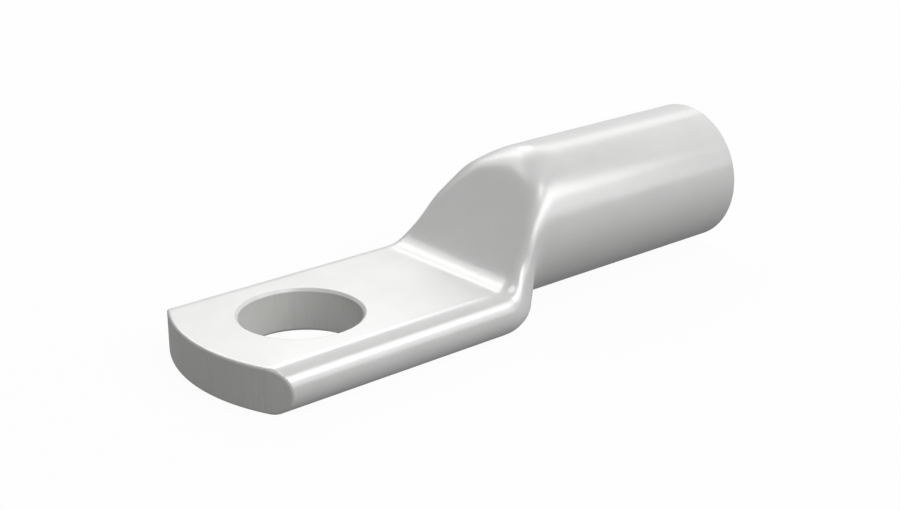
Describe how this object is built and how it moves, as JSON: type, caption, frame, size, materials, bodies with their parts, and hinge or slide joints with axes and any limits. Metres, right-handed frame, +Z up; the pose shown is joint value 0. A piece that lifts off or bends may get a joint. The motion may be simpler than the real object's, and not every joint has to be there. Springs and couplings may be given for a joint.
{
  "type": "aluminium cable lug",
  "caption": "Tubular cable lug: an open round barrel for a stranded conductor, pressed flat at its other end into a palm with a stud hole.",
  "frame": {"origin": "centre of the stud hole on the underside of the palm, which is the contact face", "axes": "+X along the lug from the palm towards the open mouth of the barrel, +Y across the palm, +Z up through the stud hole"},
  "size_m": [0.0576, 0.0186, 0.0135],
  "materials": {
    "lug_metal": "satin, as tumbled and pickled after pressing"
  },
  "bodies": {
    "root": {"cable_lug": "lug_metal"}
  },
  "joints": []
}
